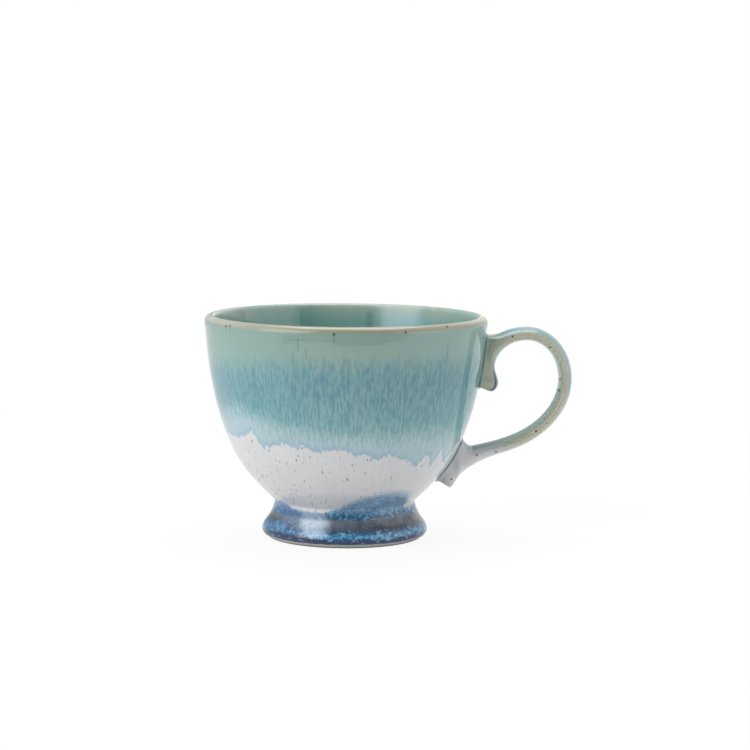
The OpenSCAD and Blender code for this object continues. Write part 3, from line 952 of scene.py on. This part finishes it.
# %% [markdown]
# ## The strap
#
# The same glazes lie on the handle, but here they follow the strap and not the height. The face outside
# the loop is misty blue, the face inside is teal, and the glaze broke to tan along the crest between
# them. The mesh keeps two lengths for this: the girth from the middle of the inner face, and the run from
# the scroll's end.

# %% The strap's two faces
OUTER_FACE = [(0, (190, 192, 195)), (42, (184, 188, 190)), (60, (140, 166, 170)), (CUP_H, (136, 166, 170))]
NECK_GREEN, INNER_LOW, INNER_TEAL = paint(148, 168, 156), paint(176, 184, 184), paint(162, 187, 178)
KNOB_EDGE, KNOB_POOL = paint(104, 138, 142), paint(64, 102, 114)

strap_noise = (place * 0.45).noise(2, 0.5)
strap_mist = (place * 0.9).noise(2, 0.5)
girth_soft = girth + strap_noise.sway(1.1) + strap_mist.sway(0.7)
neck_share = run_mm.falls(run_at["neck"] + 6, run_at["shoulder"])
knob_share = run_mm.falls(run_at["neck"] - 5, run_at["neck"] + 3)
outer_face = by_height(OUTER_FACE, z).washed(NECK_GREEN, neck_share)
inner_face = (z + strap_noise.sway(6)).rises(34, 42).mix(INNER_LOW, INNER_TEAL)
inner_face = inner_face.washed(girth.rises(1.5, 3.6).mix(KNOB_EDGE, KNOB_POOL), knob_share)
tally("the strap")

# %% The tan crest and the white root
CREST, CREST_HALF, NECK_SHIFT, KNOB_SPREAD, LOW_SPREAD = 6.4, 1.5, 1.2, 1.1, 1.4
CREST_DARK, CREST_PALE, NECK_TAN = paint(166, 164, 142), paint(192, 190, 168), paint(178, 178, 160)
ROOT_THIN, ROOT_THICK = paint(199, 200, 202), paint(211, 211, 212)

from_crest = girth_soft - CREST - neck_share * NECK_SHIFT
strap_glaze = from_crest.rises(-0.8, 0.8).mix(inner_face, outer_face)
low_spread = run_mm.rises(run_at["low run"] - 30, run_at["low run"] - 12) * LOW_SPREAD
on_crest = (from_crest + knob_share * KNOB_SPREAD).rises(-CREST_HALF - 0.35, 0.35 - CREST_HALF)
on_crest = on_crest * (from_crest - low_spread).falls(CREST_HALF - 0.6, CREST_HALF + 1.1)
on_crest = on_crest * run_mm.falls(run_at["low run"] - 6, run_at["root"] - 4)
crest_tan = strap_mist.mix(CREST_DARK, CREST_PALE).washed(NECK_TAN, neck_share)
strap_glaze = strap_glaze.washed(crest_tan, on_crest)
at_root = (run_mm + strap_noise.sway(8)).rises(run_at["low run"] + 2, run_at["root"])
strap_glaze = strap_glaze.washed(strap_noise.mix(ROOT_THIN, ROOT_THICK), at_root * girth_soft.rises(4.4, 5.4))
tally("the crest")

# %% Specks on the strap
FRONT_SPECKS = [(79, 75), (83.3, 62.4), (83, 58.1), (74.1, 42.3), (58.7, 34), (51.3, 32.7),
                (64.5, 79.2), (41.6, 22.8)]
FAR_OFF, BACK_SPECK_GAP = 9, 5

seen_flat = stack(x, 0, z)
off_speck = FAR_OFF
for speck_x, speck_z in FRONT_SPECKS:
    off_this = Field.node("VectorMath", {"operation": "DISTANCE"},
                          {0: seen_flat, 1: (speck_x, 0, speck_z)}, output=1)
    off_speck = Field.maths("MINIMUM", off_this, off_speck)
back_speck = Field.node("TexVoronoi", inputs={"Vector": place * (1 / BACK_SPECK_GAP), "Scale": 1.0})
strap_specks = off_speck.falls(0.25, 0.6) * y.falls(-1, 0) + back_speck.falls(0.06, 0.1) * y.rises(0, 1)
strap_glaze = strap_glaze.washed(paint(70, 62, 56), strap_specks, strength=0.85)
print(len(FRONT_SPECKS), "specks on the strap's front")

# %% Glaze pooled in the crease
POOLED_LOW, POOLED_HIGH = paint(54, 106, 120), paint(62, 100, 98)

surface = on_handle.mix(wall, strap_glaze)
pooled = crease.falls(0.35, 0.95) * (1 - inside)
surface = surface.washed(z.rises(30, 46).mix(POOLED_LOW, POOLED_HIGH), pooled, strength=0.85)
tally("the crease")

# %% [markdown]
# ## Gloss
#
# The glaze is a skin of glass, so it has a clear gloss over every colour. What differs is how smooth it
# lies: the white is a little softer than the celadon, and the bare ring has no gloss at all. A faint
# bump gives the orange-peel waver and the shallow throwing lines that keep reflections from looking
# machined.

# %% The finished glaze
WAVER, THROWING, GRAIN, FLECK_PIT = 0.04, 0.015, 0.25, 0.03  # depths of the relief in mm
GLAZE_ROUGH, WHITE_ROUGH, COBALT_ROUGH, STRAP_ROUGH, CLAY_ROUGH = 0.035, 0.08, 0.05, 0.06, 0.6
RUN_ROUGH, LIP_ROUGH, GLAZE_IOR = 0.16, 0.2, 1.58

waver = (place * 0.2).noise(1, 0.5)
throwing = Field.node("TexNoise", {"noise_dimensions": "1D"}, {"W": z * 0.55, "Scale": 1.0, "Detail": 2.0})
on_wall = (1 - inside) * (1 - on_handle)
relief = waver * WAVER + throwing * THROWING * (1 - on_handle) + grain * bare * GRAIN
relief = relief - flecks * FLECK_PIT * on_wall
bump = Field.node("Bump", inputs={"Height": relief, "Distance": MM, "Strength": 1.0})
soft_run = inside * angle.within(110, 130, 166, 178) * RUN_ROUGH + fall.within(1, 2.5, 4.5, 7) * LIP_ROUGH
roughness = (1 - glazed) * on_wall * WHITE_ROUGH + in_cobalt * COBALT_ROUGH + on_handle * STRAP_ROUGH
roughness = GLAZE_ROUGH + roughness + soft_run + bare * CLAY_ROUGH
shader = Field.node("BsdfPrincipled", inputs={
    "Base Color": surface, "Roughness": roughness, "Normal": bump, "IOR": GLAZE_IOR})
Field.node("OutputMaterial", inputs={"Surface": shader})
cup.data.materials.clear()
cup.data.materials.append(glaze)
tally("the gloss")

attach(cup, "root")
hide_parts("cup")

# %% [markdown]
# ## Table, backdrop and light
#
# A glossy pot shows the room it stands in, so the room matters as much as the glaze. This one stands on a
# white sweep with a wide soft light at each side. In front the table ends, and the room beyond it is
# dim: that is the darker green patch under the rim and the dark shapes in the foot. The camera itself
# sees plain white all round.

# %% The white sweep, in metres
TABLE_HALF, TABLE_BACK = 1.6, 2.2
TABLE_FRONT = [(-TABLE_HALF, -0.88), (-1.2, -0.88), (-0.28, -0.215), (-0.245, -0.262), (-0.205, -0.302),
               (-0.16, -0.332), (-0.1, -0.341), (0, -0.337), (0.1, -0.325), (0.2, -0.31), (0.3, -0.286),
               (TABLE_HALF, -0.27)]
WHITE = (1, 1, 1, 1)
NEAR_GLOW = 0.9  # beside the cup the paper shows a little of its shadow, and farther off it is plain white


def from_camera_or_gloss():
    """1 for what the camera sees straight away, and 1 for what a gloss mirrors."""
    return [Field.node("LightPath", output=kind) for kind in ("Is Camera Ray", "Is Glossy Ray")]


table_edge = [(x_side, y_side, 0) for x_side, y_side in TABLE_FRONT]
table_edge += [(TABLE_HALF, TABLE_BACK, 0), (-TABLE_HALF, TABLE_BACK, 0)]
table_mesh = bpy.data.meshes.new("sweep")
table_mesh.from_pydata(table_edge, [], [tuple(range(len(table_edge)))])
table = bpy.data.objects.new("sweep", table_mesh)
bpy.context.scene.collection.objects.link(table)

paper = empty_tree(bpy.data.materials.new("white_paper"))
matt = Field.node("BsdfDiffuse", inputs={"Color": paint(236, 236, 236)})
glow = Field.node("Emission", inputs={"Color": WHITE, "Strength": 1.0})
paper_x, paper_y, _ = Field.node("TexCoord", output="Object").split()
far = from_axis(paper_x, paper_y).rises(0.12, 0.4)
shown = Field.maths("MAXIMUM", *from_camera_or_gloss()) * (NEAR_GLOW + far * (1 - NEAR_GLOW))
Field.node("OutputMaterial", inputs={
    "Surface": Field.node("MixShader", inputs={0: shown, 1: matt, 2: glow})})
table_mesh.materials.append(paper)
print("sweep with", len(table_edge), "corners")

# %% The room
AMBIENT, FRONT_DIM, SIDE_LIFT = 0.63, 0.35, 0.15  # how the room lights the cup
FRONT_DARK, TOP_DARK, BACK_DARK, SIDE_DARK = 0.97, 0.55, 0.5, 0.25  # how the glaze mirrors it

room = empty_tree(bpy.data.worlds.new("room"))
bpy.context.scene.world = room
look_x, look_y, look_z = Field.node("TexCoord", output="Generated").split()
look_round = degrees_round(look_x, look_y)
front_gap = (look_round - look_z.rises(-0.05, 0.1) * 20).rises(-56, -52) * look_round.falls(46, 54)
above_sweep = look_z.rises(0.45, 0.65)
right_side = look_round.within(44, 54, 110, 125)
left_back = look_round.falls(-150, -100)
lighting = AMBIENT - front_gap * FRONT_DIM + right_side * SIDE_LIFT
reflection = (1 - front_gap * FRONT_DARK) * (1 - above_sweep * TOP_DARK)
reflection = reflection * (1 - left_back * BACK_DARK - right_side * SIDE_DARK)
by_camera, mirrored = from_camera_or_gloss()
level = lighting * (1 - mirrored) + reflection * mirrored
level = level * (1 - by_camera) + by_camera
Field.node("OutputWorld", inputs={
    "Surface": Field.node("Background", inputs={"Color": WHITE, "Strength": level})})
print("room of", len(Field.tree.nodes), "nodes")

# %% The lights
cup_middle = Vector((0, 0, CUP_H / 2 * MM))


def soft_light(name, position, size, watts):
    """A flat light of that width and height in metres, turned so that it faces the middle of the cup."""
    lamp = bpy.data.lights.new(name, "AREA")
    lamp.shape, lamp.size, lamp.size_y, lamp.energy = "RECTANGLE", size[0], size[1], watts
    holder = bpy.data.objects.new(name, lamp)
    holder.location = position
    holder.rotation_euler = (cup_middle - Vector(position)).to_track_quat("-Z", "Y").to_euler()
    bpy.context.scene.collection.objects.link(holder)
    print(name, "of", watts, "W")


soft_light("left_light", (-0.98, -0.77, 0.68), (1.0, 1.2), 11.4)
soft_light("right_light", (1.25, -0.35, 0.5), (1.6, 1.2), 4.4)
soft_light("top_light", (0, 0.35, 1.3), (1.0, 1.0), 10)

# %% [markdown]
# ## The camera
#
# The camera stands almost a metre away and looks down a little, as one photographs a cup for a
# catalogue. Its focal length and height follow from how round the rim and the foot look. The cup's middle
# lies left of and below the picture's centre, so the camera is turned a little instead of being shifted.

# %% Camera
PICTURE, SENSOR = 750, 36  # the picture's width in pixels and the sensor's in mm
DISTANCE, ELEVATION, ROLL = 0.943, 7.69, 0.43
PIXELS_PER_METRE = 2558.5
CUP_PIXEL = np.array([345.35, 425.1])

down, roll = math.radians(ELEVATION), math.radians(ROLL)
level_axis = Vector((1, 0, 0))
forward = Vector((0, math.cos(down), -math.sin(down)))
upward = Vector((0, math.sin(down), math.cos(down)))
right_axis = level_axis * math.cos(roll) + upward * math.sin(roll)
up_axis = upward * math.cos(roll) - level_axis * math.sin(roll)
focal = PIXELS_PER_METRE * DISTANCE
aside, above = PICTURE / 2 - CUP_PIXEL[0], CUP_PIXEL[1] - PICTURE / 2
aim = (forward * focal + right_axis * aside + up_axis * above).normalized()
up_axis = (up_axis - aim * up_axis.dot(aim)).normalized()
right_axis = aim.cross(up_axis)
lens = bpy.data.cameras.new("camera")
lens.sensor_width, lens.lens = SENSOR, focal * SENSOR / PICTURE
lens.clip_start, lens.clip_end = 0.05, 20
camera = bpy.data.objects.new("camera", lens)
pose = Matrix((right_axis, up_axis, -aim)).transposed().to_4x4()
pose.translation = cup_middle - forward * DISTANCE
camera.matrix_world = pose
bpy.context.scene.collection.objects.link(camera)
bpy.context.scene.camera = camera
bpy.context.scene.view_settings.view_transform = "Standard"
print("lens", round(lens.lens, 2), "mm, camera at", [round(v, 3) for v in pose.translation])
